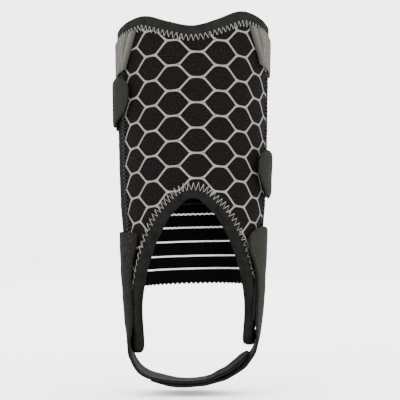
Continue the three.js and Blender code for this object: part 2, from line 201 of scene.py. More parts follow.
def ripple(point, size, depth, seed=0.0):
    """Soft unevenness of cloth: `size` is the width of a dent and `depth` its height."""
    return depth * noise.noise(Vector(point) / size + Vector((seed, 2 * seed, -seed)))


def top_height(angle):
    return FRONT_HEIGHT + EDGE_RISE * read_table(TOP_EDGE, angle / PANEL_HALF_ANGLE)


def arch_point(along, side):
    down = read_table(ARCH_EDGE, along, 1)
    spread = read_table(ARCH_EDGE, along, 2)
    return side * ARCH_ANGLE[side] * spread, mix(ARCH_APEX, WING_CORNER, down)


def rim_point(along, side):
    top = clamp(read_table(RIM_MATCH, along, 2))
    if top > 0:
        angle = side * PANEL_HALF_ANGLE * (1 - top)
        return angle, top_height(angle)
    rear = min(1.0, read_table(RIM_MATCH, along, 1))
    angle = side * PANEL_HALF_ANGLE
    return angle, mix(WING_CORNER, top_height(angle), rear)


def wing_end(v):
    """How far a wing's end reaches at v across it; it is squarer than a round end."""
    return (1 - abs(2 * v - 1) ** WING_SQUARENESS) ** (1 / WING_SQUARENESS)


def panel_point(u, v):
    """A place on the panel: u from the left wing (-1) over the arch (0) to the right wing (1)."""
    side = -1 if u < 0 else 1
    along = abs(u)
    inner = arch_point(along, side)
    outer = rim_point(along, side)
    bulge = WING_BULGE[side] * max(0.0, (along - 0.97) / 0.03) * wing_end(v)
    return mix(inner[0], outer[0], v), mix(inner[1], outer[1], v) - bulge


class Cloth:
    """Points, faces and cloth coordinates of one piece while it is made, in millimetres."""

    def __init__(self):
        self.points = []
        self.flat = []
        self.faces = []
        self.looks = []

    def grid(self, points, flat, look=0):
        """A skin over rows of points; `flat` holds each point's place on the uncut cloth.

        `look` is the skin's material number, or a function of the row and the column.
        """
        start = len(self.points)
        across = len(points[0])
        for row in points:
            self.points.extend(row)
        for row in flat:
            self.flat.extend(row)
        for i in range(len(points) - 1):
            for j in range(across - 1):
                a = start + i * across + j
                self.faces.append((a, a + across, a + across + 1, a + 1))
                self.looks.append(look(i, j) if callable(look) else look)

    def tube(self, line, radius, look=0, sides=6):
        """A thread along a line of points, with closed, slightly drawn-in ends."""
        last = len(line) - 1
        turns = [2 * pi * share for share in even(sides)]
        side = (line[1] - line[0]).orthogonal()
        rings = []
        flat = []
        for i, (spot, gone) in enumerate(zip(line, running_lengths(line))):
            way = (line[min(i + 1, last)] - line[max(i - 1, 0)]).normalized()
            side = (side - way * side.dot(way)).normalized()
            other = way.cross(side)
            reach = radius * (0.55 if i in (0, last) else 1.0)
            ways = [side * cos(turn) + other * sin(turn) for turn in turns[:-1]]
            rings.append([spot + out * reach for out in ways])
            flat.append([(gone, radius * turn) for turn in turns])
        self.ring_sweep(rings, flat, look)

    def shell(self, us, vs, point, flat, outer=0, inner=1, rim=0):
        """A closed body between an inner skin (face 0) and an outer one (face 1)."""
        skins = [[[point(u, v, face) for v in vs] for u in us] for face in (0, 1)]
        places = [[flat(u, v) for v in vs] for u in us]
        self.grid(skins[1], places, outer)
        self.grid(skins[0], places, inner)
        for end in (0, -1):
            self.grid([skin[end] for skin in skins], [places[end]] * 2, rim)
            side = [row[end] for row in places]
            self.grid([[row[end] for row in skin] for skin in skins], [side] * 2, rim)

    def ring_sweep(self, rings, flat, look=0):
        """A closed body swept through closed rings, with its two ends filled in."""
        self.grid([ring + ring[:1] for ring in rings], flat, look)
        for ring in (rings[0], rings[-1]):
            start = len(self.points)
            self.points.extend(ring)
            self.flat.extend(flat[0][:1] * len(ring))
            self.faces.append(tuple(range(start, start + len(ring))))
            self.looks.append(look)


def add_object(name, data):
    made = bpy.data.objects.new(name, data)
    bpy.context.scene.collection.objects.link(made)
    return made


def make_piece(name, cloth, materials, replaces=()):
    """The mesh object of a piece: welded, with its normals out, riding on the brace's one body."""
    mesh = bpy.data.meshes.new(name)
    mesh.from_pydata([tuple(point * MM) for point in cloth.points], [], cloth.faces)
    for material in materials:
        mesh.materials.append(material)
    mesh.polygons.foreach_set("material_index", cloth.looks)
    mesh.polygons.foreach_set("use_smooth", [True] * len(mesh.polygons))
    layer = mesh.uv_layers.new(name="cloth")
    corners = [0] * len(mesh.loops)
    mesh.loops.foreach_get("vertex_index", corners)
    layer.data.foreach_set("uv", [value for corner in corners for value in cloth.flat[corner]])
    shape = bmesh.new()
    shape.from_mesh(mesh)
    bmesh.ops.remove_doubles(shape, verts=shape.verts, dist=WELD * MM)
    bmesh.ops.recalc_face_normals(shape, faces=shape.faces)
    shape.to_mesh(mesh)
    shape.free()
    mesh.set_sharp_from_angle(angle=radians(SHARP_EDGE))
    piece = add_object(name, mesh)
    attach(piece, "root")
    if replaces:
        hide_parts(*replaces)
    return piece


# The studio is bright enough for a white background, so all but white cloth is made this much darker
CLOTH_SHARE = 0.36


def linear(red, green, blue, share=CLOTH_SHARE):
    """A colour from 0 to 255 in the renderer's own values, made darker by a share."""
    def one(value):
        part = value / 255
        return share * (part / 12.92 if part <= 0.04045 else ((part + 0.055) / 1.055) ** 2.4)

    return one(red), one(green), one(blue), 1.0


# Numbers of the colour sockets of a mix node
MIX_SHARE, MIX_FIRST, MIX_SECOND, MIX_RESULT = 0, 6, 7, 2


class Look:
    """A cloth material made of nodes. Its patterns are in millimetres of the uncut cloth.

    Its colours run from 0 to 255; a fourth number stands in for CLOTH_SHARE.
    """

    def __init__(self, name, roughness, sheen=0.0, glow=(255, 255, 255, 1)):
        self.material = bpy.data.materials.new(name)
        self.material.use_nodes = True
        self.tree = self.material.node_tree
        self.shader = self.tree.nodes["Principled BSDF"]
        constants = {"Roughness": roughness, "Specular IOR Level": 0.02, "Sheen Weight": sheen,
                     "Sheen Roughness": 0.5, "Sheen Tint": linear(*glow)}
        for socket, value in constants.items():
            self.shader.inputs[socket].default_value = value
        self.place = self.node("TexCoord").outputs["UV"]
        self.across, self.along = self.node("SeparateXYZ", {0: self.place}).outputs[:2]

    def node(self, kind, inputs=None, **settings):
        made = self.tree.nodes.new("ShaderNode" + kind)
        for setting, value in settings.items():
            setattr(made, setting, value)
        for socket, value in (inputs or {}).items():
            if isinstance(value, bpy.types.NodeSocket):
                self.tree.links.new(value, made.inputs[socket])
            else:
                made.inputs[socket].default_value = value
        return made

    def math(self, operation, a, b=0.0):
        return self.node("Math", {0: a, 1: b}, operation=operation).outputs[0]

    def noise(self, size, detail=2.0, stretch=(1.0, 1.0), rough=0.5):
        """Cloudy noise from 0 to 1, its blots about `size` millimetres and drawn out by `stretch`."""
        scale = (1 / (size * stretch[0]), 1 / (size * stretch[1]), 1.0)
        place = self.node("Mapping", {"Vector": self.place, "Scale": scale}).outputs[0]
        inputs = {"Vector": place, "Scale": 1.0, "Detail": detail, "Roughness": rough}
        return self.node("TexNoise", inputs).outputs["Fac"]

    def wave(self, pitch, way, shift=0.0):
        """A sine from 0 to 1 along one way of the cloth, with a phase in turns."""
        turns = self.math("ADD", self.math("MULTIPLY", way, 1 / pitch), shift)
        sine = self.math("SINE", self.math("MULTIPLY", turns, 2 * pi))
        return self.math("ADD", self.math("MULTIPLY", sine, 0.5), 0.5)

    def knit(self, wale, course):
        """Rows of little knitted V shapes, from 0 to 1."""
        shift = self.math("MULTIPLY", self.math("PINGPONG", self.across, wale / 2), 1.1 / wale)
        legs = self.math("ADD", self.math("MULTIPLY", self.wave(wale / 2, self.across), 0.5), 0.5)
        return self.math("MULTIPLY", self.wave(course, self.along, shift), legs)

    def spread(self, value, low, high):
        inputs = {"Value": value, "From Min": low, "From Max": high}
        return self.node("MapRange", inputs).outputs[0]

    def blend(self, share, first, second):
        first, second = (linear(*each) if isinstance(each, tuple) else each for each in (first, second))
        inputs = {MIX_SHARE: share, MIX_FIRST: first, MIX_SECOND: second}
        return self.node("Mix", inputs, data_type="RGBA").outputs[MIX_RESULT]

    def tint(self, pattern, share, base, colour):
        """The base, with at most a share of a second colour where the pattern is high."""
        return self.blend(self.math("MULTIPLY", pattern, share), base, colour)

    def blots(self, dark, light, size, stretch=(1.0, 1.0), low=0.35, high=0.65):
        """A blotchy mix of two colours."""
        return self.blend(self.spread(self.noise(size, 3.0, stretch), low, high), dark, light)

    def finish(self, colour, heights, depth):
        """Sets the colour, and a bump of `depth` millimetres from the sum of (height, share)."""
        self.tree.links.new(colour, self.shader.inputs["Base Color"])
        total = None
        for height, share in heights:
            part = self.math("MULTIPLY", height, share)
            total = part if total is None else self.math("ADD", total, part)
        inputs = {"Height": total, "Distance": depth * MM, "Strength": 1.0}
        bump = self.node("Bump", inputs)
        self.tree.links.new(bump.outputs["Normal"], self.shader.inputs["Normal"])
        return self.material


def knit_material():
    look = Look("black_knit", 0.95, 0.03, (120, 112, 110))
    stitches = look.knit(1.1, 0.85)
    fluff = look.noise(0.5, 3.0)
    speckle = look.blots((3, 2, 3), (43, 37, 37), 1.0, low=0.4, high=0.66)
    base = look.tint(look.noise(5.0), 0.7, speckle, (13, 11, 11))
    colour = look.tint(stitches, 0.4, base, (38, 33, 32))
    return look.finish(colour, [(stitches, 0.7), (fluff, 0.5)], 0.3)


def print_material():
    look = Look("honeycomb_print", 0.7)
    grain = look.noise(0.35, 3.0)
    base = look.blots((141, 136, 132), (162, 157, 152), 3.0)
    colour = look.tint(grain, 0.4, base, (115, 110, 107))
    return look.finish(colour, [(grain, 1.0)], 0.06)


def tape_material(name, sheen, glow, dark, light, blot, knitted, share):
    """Knitted tape; `knitted` is the colour of its stitches."""
    look = Look(name, 0.92, sheen, glow)
    stitches = look.knit(0.9, 0.8)
    colour = look.tint(stitches, share, look.blots(dark, light, blot), knitted)
    return look.finish(colour, [(stitches, 0.8), (look.noise(0.4, 3.0), 0.4)], 0.15)


def pile_material(name, glow, size, high, dark, light, depth):
    """Brushed cloth: its tufts are `size` millimetres wide and fully light from `high` on."""
    look = Look(name, 0.97, 0.03, glow)
    pile = look.noise(size, 4.0)
    colour = look.blend(look.spread(pile, 0.3, high), dark, light)
    return look.finish(colour, [(pile, 1.0)], depth)


def thread_material(name, dark, light):
    look = Look(name, 0.6, 0.1)
    twist = look.wave(0.5, look.across, look.math("MULTIPLY", look.noise(1.0), 0.5))
    colour = look.tint(twist, 0.35, look.blots(dark, light, 2.5), dark)
    return look.finish(colour, [(twist, 1.0)], 0.05)


def elastic_material():
    look = Look("black_elastic", 0.85, 0.0)
    ribs = look.wave(1.15, look.along)
    cross = look.wave(0.9, look.across)
    colour = look.tint(ribs, look.noise(1.5), (8, 7, 9), (24, 22, 27))
    return look.finish(colour, [(ribs, 1.0), (cross, 0.35)], 0.25)


def stripe_material(name, dark, light):
    look = Look(name, 0.75, 0.1)
    cross = look.wave(0.8, look.across)
    colour = look.tint(cross, 0.2, look.blots(dark, light, 4.0), dark)
    return look.finish(colour, [(cross, 1.0)], 0.1)


def webbing_material(length):
    """Grey webbing: at both ends of its length painted shade darkens the fold's edge and the seam, and a
    painted highlight lightens its top.
    """
    look = Look("grey_webbing", 0.9, 0.05, (200, 200, 195))
    side = look.math("PINGPONG", look.across, length / 2)

    def near(distance, low, high):
        return look.spread(look.math("ABSOLUTE", look.math("SUBTRACT", side, distance)), low, high)

    ribs = look.wave(0.95, look.across)
    picks = look.wave(0.7, look.along)
    base = look.blots((114, 113, 105), (127, 125, 117), 2.0)
    # Painted highlight on the top of the fold
    ridge_highlight = look.blend(near(HIGHLIGHT_AT, 2.2, 0.3), base, (138, 135, 128))
    # Painted shade on the fold's edge
    folded = look.blend(look.spread(side, 3.4, 0.3), ridge_highlight, (70, 68, 65))
    # Painted shade in the seam's groove
    seam_shade = look.tint(near(SEAM_AT, 1.4, 0.2), 0.6, folded, (46, 45, 42))
    colour = look.tint(ribs, 0.6, seam_shade, (74, 73, 67))
    return look.finish(colour, [(ribs, 0.8), (picks, 0.3), (look.noise(0.5, 3.0), 0.3)], 0.22)


def strap_material():
    look = Look("black_strap", 0.95, 0.04, (110, 108, 108))
    pile = look.noise(0.5, 4.0)
    colour = look.blend(look.spread(pile, 0.3, 0.7), (9, 9, 9), (24, 22, 23))
    return look.finish(colour, [(pile, 1.0), (look.wave(1.2, look.across), 0.2)], 0.22)


def tab_material(name, dark, light):
    look = Look(name, 0.95, 0.05, (132, 135, 125))
    fibre = look.noise(0.45, 4.0, (1.0, 2.2))
    ribs = look.wave(1.0, look.across, look.math("MULTIPLY", look.noise(3.0), 0.6))
    colour = look.blend(look.spread(fibre, 0.28, 0.72), dark, light)
    return look.finish(colour, [(fibre, 1.0), (ribs, 0.45)], 0.2)


def heather_material():
    look = Look("charcoal_heather", 0.97, 0.05, (140, 134, 130))
    streaks = look.noise(1.3, 4.0, (0.7, 5.0), 0.6)
    fibre = look.noise(0.4, 3.0)
    base = look.blend(look.spread(streaks, 0.4, 0.7), (12, 11, 11), (44, 42, 41))
    flecks = look.spread(look.noise(0.9, 2.0), 0.56, 0.7)
    flecked = look.tint(flecks, 0.8, base, (96, 93, 90))
    colour = look.tint(fibre, 0.3, flecked, (12, 11, 11))
    return look.finish(colour, [(fibre, 1.0), (streaks, 0.6)], 0.25)


def sling_lining_material():
    look = Look("warm_grey_lining", 0.97, 0.05, (170, 165, 160))
    pile = look.noise(0.6, 4.0)
    base = look.blots((48, 45, 44), (70, 66, 64), 6.0, (3.0, 1.0))
    colour = look.tint(pile, 0.45, base, (34, 32, 31))
    return look.finish(colour, [(pile, 1.0)], 0.3)


def floor_material():
    look = Look("pale_floor", 0.9)
    colour = look.blend(look.noise(900.0), (248, 248, 248, 1), (252, 252, 252, 1))
    return look.finish(colour, [(look.noise(400.0), 1.0)], 0.02)


# Padded panel and its print

# Millimetres to a degree on the uncut cloth
DEGREE_MM = radians(50)
PRINT_CENTRE = 3.2
PRINT_ROW = 127.4
PRINT_DROOP = 0.00148
CELL_FLAT = 4.25
CELL_POINT = 11.85
CELL_HALF_HEIGHT = 8.02
PRINT_LINE = 1.24
PRINT_CORNER_SHARPNESS = 11
PRINT_MARGIN = 1.2
# (column, row) of every cell that may lie on the panel
PRINT_CELLS = [(column, row) for column in range(-6, 7) for row in range(-13, 2)]
# (way from the middle of a printed line 0 to its edge 1, lift)
PRINT_RISE = [(0, 0.3), (0.5, 0.29), (0.82, 0.2), (1, -0.12)]


def leg_flat(angle, height):
    """Place on the uncut cloth of a piece that is wrapped round the leg."""
    return angle * DEGREE_MM, height


def padding(angle, height):
    """Soft unevenness of the panel's outer face."""
    spot = on_leg(angle, height, 0)
    return ripple(spot, 17, 0.34, 1.3) + ripple(spot, 6, 0.1, 4.1)


def panel_stations(count):
    """Stations over the arch that crowd at its apex, where the rim opposite is long."""
    half = [share ** 1.6 for share in even(count)]
    return [-along for along in reversed(half)] + half[1:]


def front_panel():
    cloth = Cloth()

    def point(u, v, face):
        angle, height = panel_point(u, v)
        if face:
            return on_leg(angle, height, padding(angle, height))
        return on_leg(angle, height, -PANEL_WALL + ripple((angle, height, 3), 12, 0.2))

    cloth.shell(panel_stations(56), crowded(28), point, lambda u, v: leg_flat(*panel_point(u, v)), 0, 1, 1)
    lining = pile_material("dark_lining", (120, 116, 116), 0.7, 0.7, (10, 10, 12), (26, 25, 28), 0.35)
    looks = [knit_material(), lining]
    piece = make_piece("padded_panel", cloth, looks, ["front_panel"])


ARCH_BY_HEIGHT = [(down, spread) for _, down, spread in ARCH_EDGE]


def on_panel(angle, height, margin):
    """Whether a place lies on the panel, at least `margin` from its edges."""
    degree = radians(panel_radius(height))
    if height > top_height(angle) - margin or (PANEL_HALF_ANGLE - abs(angle)) * degree < margin:
        return False
    side = -1 if angle < 0 else 1
    if height < WING_CORNER + margin:
        inner = ARCH_ANGLE[side] * ARCH_EDGE[-1][2]
        v = clamp((abs(angle) - inner) / (PANEL_HALF_ANGLE - inner))
        if height < WING_CORNER - WING_BULGE[side] * wing_end(v) + margin:
            return False
    down = (ARCH_APEX + margin - height) / (ARCH_APEX - WING_CORNER)
    if down < 0:
        return True
    spread = read_table(ARCH_BY_HEIGHT, down)
    return abs(angle) > ARCH_ANGLE[side] * spread + margin / degree


def cell_reach(turn, inset=0, sharpness=None):
    """How far a cell reaches from its centre; a low sharpness rounds its corners."""
    lean = hypot(CELL_POINT - CELL_FLAT, CELL_HALF_HEIGHT)
    slant = (CELL_HALF_HEIGHT / lean, (CELL_POINT - CELL_FLAT) / lean)
    across, up = abs(cos(turn)), abs(sin(turn))
    flat_side = up / (CELL_HALF_HEIGHT - inset)
    slant_side = (across * slant[0] + up * slant[1]) / (CELL_POINT * slant[0] - inset)
    if sharpness is None:
        return 1 / max(flat_side, slant_side)
    return (flat_side ** sharpness + slant_side ** sharpness) ** (-1 / sharpness)


def cell_turns(steps):
    """Directions round a cell, with its six corners among them."""
    corner = atan2(CELL_HALF_HEIGHT, CELL_FLAT)
    marks = [0, corner, pi - corner, pi, pi + corner, 2 * pi - corner, 2 * pi]
    turns = []
    for first, second in zip(marks, marks[1:]):
        turns.extend(mix(first, second, k / steps) for k in range(steps))
    return turns + [2 * pi]


def print_place(across, up, column, row):
    """Angle and height of a spot of the print; its rows droop towards the sides."""
    pitch = CELL_FLAT + CELL_POINT
    angle = PRINT_CENTRE + (column * pitch + across) / DEGREE_MM
    middle = PRINT_ROW + (2 * row + 1 + column % 2) * CELL_HALF_HEIGHT
    return angle, middle + up - PRINT_DROOP * (angle - PRINT_CENTRE) ** 2


def honeycomb_print():
    """A raised ring round each cell, as wide as half a printed line."""
    cloth = Cloth()
    turns = cell_turns(8)
    rings = []
    for share, lift in PRINT_RISE:
        ring = []
        for turn in turns:
            edge = cell_reach(turn, PRINT_LINE / 2, PRINT_CORNER_SHARPNESS)
            reach = mix(cell_reach(turn), edge, share)
            ring.append((reach * cos(turn), reach * sin(turn), lift))
        rings.append(ring)
    for cell in PRINT_CELLS:
        skins = [[(print_place(across, up, *cell), lift) for across, up, lift in ring] for ring in rings]
        for i in range(len(rings) - 1):
            for j in range(len(turns) - 1):
                quad = [skin[j:j + 2] for skin in skins[i:i + 2]]
                if not all(on_panel(*place, PRINT_MARGIN) for pair in quad for place, _ in pair):
                    continue
                points = [[on_leg(*place, padding(*place) + lift) for place, lift in pair] for pair in quad]
                cloth.grid(points, [[leg_flat(*place) for place, _ in pair] for pair in quad])
    make_piece("honeycomb_print", cloth, [print_material()])


# Bindings and their stitches

TOP_BINDING_WIDTH = 6.8
ARCH_BINDING_WIDTH = 5.5
WING_BINDING_WIDTH = 5.9
SIDE_BINDING_WIDTH = 7
LEFT_BAND_WIDTH = 20
LEFT_BAND_FOOT = 9
# Width of the strip that slopes down to a binding's stitched edge
BINDING_SLOPE = 1.8
# Parts of a binding with more lift than this are its outer face
OUTER_FACE = 0.4
GATHERS = 0.14
# Below this height the right wing's tape is folded more tightly: closer to the edge and thinner
WING_SEAM = -39
WING_TUCK = 0.75
WING_THIN = 0.3
# Lowest heights of the arch's zigzag on the left and the right
ARCH_STITCH_END = {-1: -36, 1: -20}
# (way down the arch, width from ARCH_BINDING_WIDTH 0 to WING_BINDING_WIDTH 1)
ARCH_BINDING_SPREAD = [(0, 0), (0.3, 0.3), (0.6, 1), (0.85, 1), (1, 0.15), (1.15, 0)]


def resample(path, step):
    """Places at even steps along a path of places, with how far each one is along it."""
    lengths = [0.0]
    for (a0, h0), (a1, h1) in zip(path, path[1:]):
        degree = radians(panel_radius((h0 + h1) / 2))
        lengths.append(lengths[-1] + hypot((a1 - a0) * degree, h1 - h0))
    count = max(2, round(lengths[-1] / step))
    places = []
    for k in range(count + 1):
        gone = lengths[-1] * k / count
        i, part = stretch_at(lengths, gone)
        angle, height = (mix(a, b, part) for a, b in zip(path[i], path[i + 1]))
        places.append((angle, height, gone))
    return places


def edge_frames(path, step, hand):
    """Along an edge: the place, the turn and rise for each millimetre into the panel, the way gone."""
    places = resample(path, step)
    frames = []
    for i, (angle, height, gone) in enumerate(places):
        before = places[max(i - 1, 0)]
        after = places[min(i + 1, len(places) - 1)]
        degree = radians(panel_radius(height))
        way = Vector(((after[0] - before[0]) * degree, after[1] - before[1])).normalized()
        frames.append((angle, height, -hand * way.y / degree, hand * way.x, gone))
    return frames


def edge_point(spot, across, lift):
    return on_leg(spot[0] + spot[2] * across, spot[1] + spot[3] * across, lift)


def flap_lift(across, width):
    """Height of a binding's outer face: full on its back and drawn down at its stitched edge."""
    full = BINDING_LIFT + BINDING_WALL
    return mix(0.5, full, sqrt(clamp((width - across) / BINDING_SLOPE)))


def binding_profile(width, inner_width, steps):
    """Outline of a folded binding: across from the panel's edge, and lift."""
    under = -PANEL_WALL
    full = BINDING_LIFT + BINDING_WALL
    outer = [width - BINDING_SLOPE * share for share in (0, 0.03, 0.15, 0.4, 1)]
    outer += [(width - BINDING_SLOPE) * (1 - share) for share in even(steps)[1:]]
    back = [(-0.72, 0.72), (-1.18, 0.1), (-1.38, -0.9), (-1.45, -2), (-1.38, -3.1), (-1.18, -4.1),
            (-0.72, -4.72)]
    inner = [(0, under - full), (inner_width * 0.5, under - full), (inner_width, under - full + 0.25)]
    return_way = [(inner_width, under - BINDING_LIFT), (0, under - BINDING_LIFT), (-0.35, -3.8),
                  (-0.35, -0.2), (0, 0.3)]
    underside = [(width * share, 0.3) for share in even(steps)[1:]]
    return [(a, flap_lift(a, width)) for a in outer] + back + inner + return_way + underside


def binding(name, path, hand, width, inner_width, steps, pitch, look, node):
    """A folded binding whose outer flap is gathered a little by its stitches."""
    cloth = Cloth()
    rings = []
    flat = []
    for spot in edge_frames(path, 1.2, hand):
        wide = width(spot)
        ring = []
        tight = hand > 0 and 0 < spot[0] < PANEL_HALF_ANGLE - 2 and spot[1] < WING_SEAM
        for across, lift in binding_profile(wide, inner_width, steps):
            if tight and across < -0.5:
                across += WING_TUCK
            if tight and lift > OUTER_FACE:
                lift -= WING_THIN
            if lift > OUTER_FACE:
                near = smoothstep(across, wide - 4, wide)
                lift += GATHERS * near * sin(2 * pi * spot[4] / pitch)
                lift += ripple((spot[4], across, 0), 5, 0.22, 2.2)
            ring.append(edge_point(spot, across, lift))
        rings.append(ring)
        flat.append([(spot[4], 0.9 * k) for k in range(len(ring) + 1)])
    cloth.ring_sweep(rings, flat)
    make_piece(name, cloth, [look], [node])


def stitch(cloth, start, end, rise, radius, look=0):
    """One stitch between two spots of a skin, each given as a point and its outward way."""
    (first, out_first), (second, out_second) = start, end
    line = []
    for share in (0, 0.12, 0.32, 0.5, 0.68, 0.88, 1):
        out = out_first.lerp(out_second, share).normalized()
        arch = -0.25 + (rise + 0.25) * sin(pi * share) ** 0.5 if 0 < share < 1 else -0.25
        line.append(first.lerp(second, share) + out * arch)
    cloth.tube(line, radius, look)


def zigzag(name, path, hand, width, reach, radius, looks):
    """Zigzag stitches over a binding's edge; `reach` gives their ends under and over it and the pitch.

    Every second stitch takes the second look, as the thread there turns away from the light.
    """
    cloth = Cloth()
    spots = []
    frames = edge_frames(path, 0.8, hand)
    line = []
    for spot in frames:
        under, over, _ = reach(spot)
        line.append(edge_point(spot, width(spot) + (over - under) / 2, 0))
    lengths = running_lengths(line)
    gone = 0.0
    while gone < lengths[-1]:
        i, share = stretch_at(lengths, gone)
        spot = [mix(a, b, share) for a, b in zip(frames[i], frames[i + 1])]
        wide = width(spot)
        under, over, pitch = reach(spot)
        across = wide + (over if len(spots) % 2 else -under) + random.uniform(-0.18, 0.18)
        point = edge_point(spot, across, flap_lift(across, wide) if across < wide else 0.05)
        spots.append((point, outward(point)))
        gone += pitch / 2 * random.uniform(0.92, 1.08)
    for i, (start, end) in enumerate(zip(spots, spots[1:])):
        stitch(cloth, start, end, 0.42, radius, i % 2)
    make_piece(name, cloth, looks)


def top_path():
    return [(angle, top_height(angle)) for angle in range(-PANEL_HALF_ANGLE, PANEL_HALF_ANGLE + 1)]


def arch_path():
    lobe = crowded(24)
    left = [panel_point(-1, v) for v in reversed(lobe)]
    right = [panel_point(1, v) for v in lobe]
    return left + [panel_point(u, 0) for u in panel_stations(70)[1:-1]] + right


def side_path(side):
    top = top_height(side * PANEL_HALF_ANGLE) - TOP_BINDING_WIDTH - LAYER_GAP
    bottom = WING_CORNER + ARCH_BINDING_WIDTH + LAYER_GAP
    return [(side * PANEL_HALF_ANGLE, mix(bottom, top, share)) for share in even(90)]


def arch_way_down(spot):
    return (ARCH_APEX - spot[1]) / (ARCH_APEX - WING_CORNER)


def arch_binding_width(spot):
    return mix(ARCH_BINDING_WIDTH, WING_BINDING_WIDTH, read_table(ARCH_BINDING_SPREAD, arch_way_down(spot)))


def bindings():
    tape = tape_material("binding_tape", 0.05, (130, 134, 124), (26, 27, 25), (35, 36, 33), 4.0,
                         (50, 51, 47), 0.35)
    wing_tape = tape_material("wing_binding_tape", 0.04, (120, 122, 114), (18, 18, 17), (32, 32, 30),
                              5.0, (46, 46, 43), 0.3)
    band = pile_material("loop_band", (110, 106, 104), 0.55, 0.72, (13, 12, 12), (34, 32, 31), 0.3)
    light = thread_material("light_thread", (134, 134, 125), (204, 202, 190))
    # The same thread with painted shade, for the stitches that turn away from the light
    shaded_thread = thread_material("painted_shade_thread", (76, 76, 70), (146, 145, 135))
    dark = thread_material("dark_thread", (24, 23, 22), (52, 50, 46))

    def top_width(_):
        return TOP_BINDING_WIDTH

    def arch_reach(spot):
        down = arch_way_down(spot)
        wing = smoothstep(down, 0.25, 0.6)
        return mix(1.8, 2.2, wing), mix(3.5, 0.9, wing), mix(2.9, 4.4, smoothstep(down, 0.02, 0.4))

    binding("top_tape", top_path(), -1, top_width, 6.5, 3, 3.45, tape, "top_binding")
    zigzag("top_zigzag", top_path(), -1, top_width, lambda _: (2.4, 1.8, 3.1), 0.2, [light, shaded_thread])
    binding("arch_tape", arch_path(), 1, arch_binding_width, 5, 4, 3.6, wing_tape, "arch_binding")
    stitched = [place for place in arch_path() if place[1] > ARCH_STITCH_END[-1 if place[0] < 0 else 1]]
    zigzag("arch_zigzag", stitched, 1, arch_binding_width, arch_reach, 0.2, [light, shaded_thread])
    sides = ((-1, "left", LEFT_BAND_WIDTH, LEFT_BAND_FOOT, 8),
             (1, "right", SIDE_BINDING_WIDTH, SIDE_BINDING_WIDTH, 3))
    for side, name, top, foot, steps in sides:
        def width(spot, top=top, foot=foot):
            return mix(foot, top, smoothstep(spot[1], WING_CORNER, 0))

        edge = side_path(side)
        binding(f"{name}_band", edge, side, width, 7, steps, 3.4, band, f"{name}_side_binding")
        zigzag(f"{name}_band_zigzag", edge, side, width, lambda _: (1.6, 2.2, 2.6), 0.22, [dark, dark])


# Elastic and straps behind

BUTTED = PANEL_HALF_ANGLE + degrees(OVER_BINDING / ANKLE_RADIUS)
ELASTIC_WALL = 1.5
ELASTIC_BOTTOM = -25
ELASTIC_TOP = 39.6
STRIPE_HEIGHTS = (-14.2, -5.4, 4.5, 14.2, 23.4, 30.6)
STRIPE_HALF_WIDTH = 0.52
ELASTIC_LEAN = 1.1
# (distance from a line's middle in half widths, rise over the elastic)
STRIPE_RISE = [(0.5, 0.26), (0.95, 0.16), (1.02, 0.012), (1.1, 0)]
# Largest step between two rows of the elastic's points
ELASTIC_STEP = 1.2
# Mean radii along which the elastic and the straps are measured
ELASTIC_RADIUS = 44
TOP_STRAP_RADIUS = 50
BACK_STRAP_RADIUS = 49


def soft_rim(distance, radius=0.7):
    """Share of a strap's thickness at a distance from its rim."""
    return 0.2 + 0.8 * sqrt(1 - (1 - clamp(distance / radius)) ** 2)


def skin_lift(lift, wall, face, distance):
    """Lift of a strap's inner (0) or outer (1) skin, drawn together at the rim."""
    half = wall / 2 * soft_rim(distance)
    return lift + wall / 2 + (half if face else -half)


def elastic_heights():
    """Heights of the elastic's rows of points: close at its rims and at its white lines."""
    marks = [ELASTIC_BOTTOM, ELASTIC_BOTTOM + 0.3, ELASTIC_TOP - 0.3, ELASTIC_TOP]
    for stripe in STRIPE_HEIGHTS:
        for offset in (0.5, 0.95, 1.02):
            marks += [stripe - offset * STRIPE_HALF_WIDTH, stripe + offset * STRIPE_HALF_WIDTH]
    marks.sort()
    heights = marks[:1]
    for low, high in zip(marks, marks[1:]):
        steps = ceil((high - low) / ELASTIC_STEP)
        heights += [mix(low, high, share) for share in even(steps)[1:]]
    return heights


def from_stripe(height):
    """Distance from the nearest white line's middle, in half widths."""
    return min(abs(height - stripe) for stripe in STRIPE_HEIGHTS) / STRIPE_HALF_WIDTH


def back_elastic():
    """Woven elastic with raised white lines and a wavy lower hem."""
    cloth = Cloth()
    length = (360 - 2 * BUTTED) * radians(ELASTIC_RADIUS)
    span = ELASTIC_TOP - ELASTIC_BOTTOM
    heights = elastic_heights()
    vs = [(height - ELASTIC_BOTTOM) / span for height in heights]

    def point(u, v, face):
        height = mix(ELASTIC_BOTTOM, ELASTIC_TOP, v)
        rise = read_table(STRIPE_RISE, from_stripe(height))
        along = u * length
        wave = 1.3 * (1 - abs(sin(pi * along / 3.4))) * clamp(1 - v * 8)
        scallop = 0.26 * sin(2 * pi * along / 3.3) * smoothstep(height, 8, 20)
        lift = skin_lift(-(PANEL_WALL + ELASTIC_WALL) / 2, ELASTIC_WALL, face, from_ends(v, span))
        lift += (rise if face else -rise) + ripple((along, height, 0), 22, 0.5, 5.0)
        angle = mix(BUTTED, 360 - BUTTED, u)
        lean = ELASTIC_LEAN * sin(radians(angle))
        return on_leg(angle, height + wave + scallop + lean, lift)

    def look(_, j):
        if from_stripe((heights[j] + heights[j + 1]) / 2) > 1.02:
            return 0
        # The top white line takes a dark copy of the stripe: painted shadow
        return 2 if heights[j] > STRIPE_HEIGHTS[-2] + 2 else 1

    cloth.shell(even(300), vs, point, lambda u, v: (u * length, v * span), look, look, 0)
    looks = [
        elastic_material(),
        stripe_material("white_stripe", (240, 237, 232, 1), (254, 252, 249, 1)),
        # The white stripe darkened by painted shadow, for the top line
        stripe_material("stripe_in_painted_shadow", (28, 28, 34), (52, 52, 60)),
    ]
    piece = make_piece("striped_elastic", cloth, looks, ["back_elastic"])


TOP_STRAP_WIDTH = 22.5
TOP_STRAP_FRONT = 46
TOP_STRAP_SLANT = 13
LADDER_ANGLE = 62.5
LADDER_REACH = 3
LADDER_STITCHES = 11
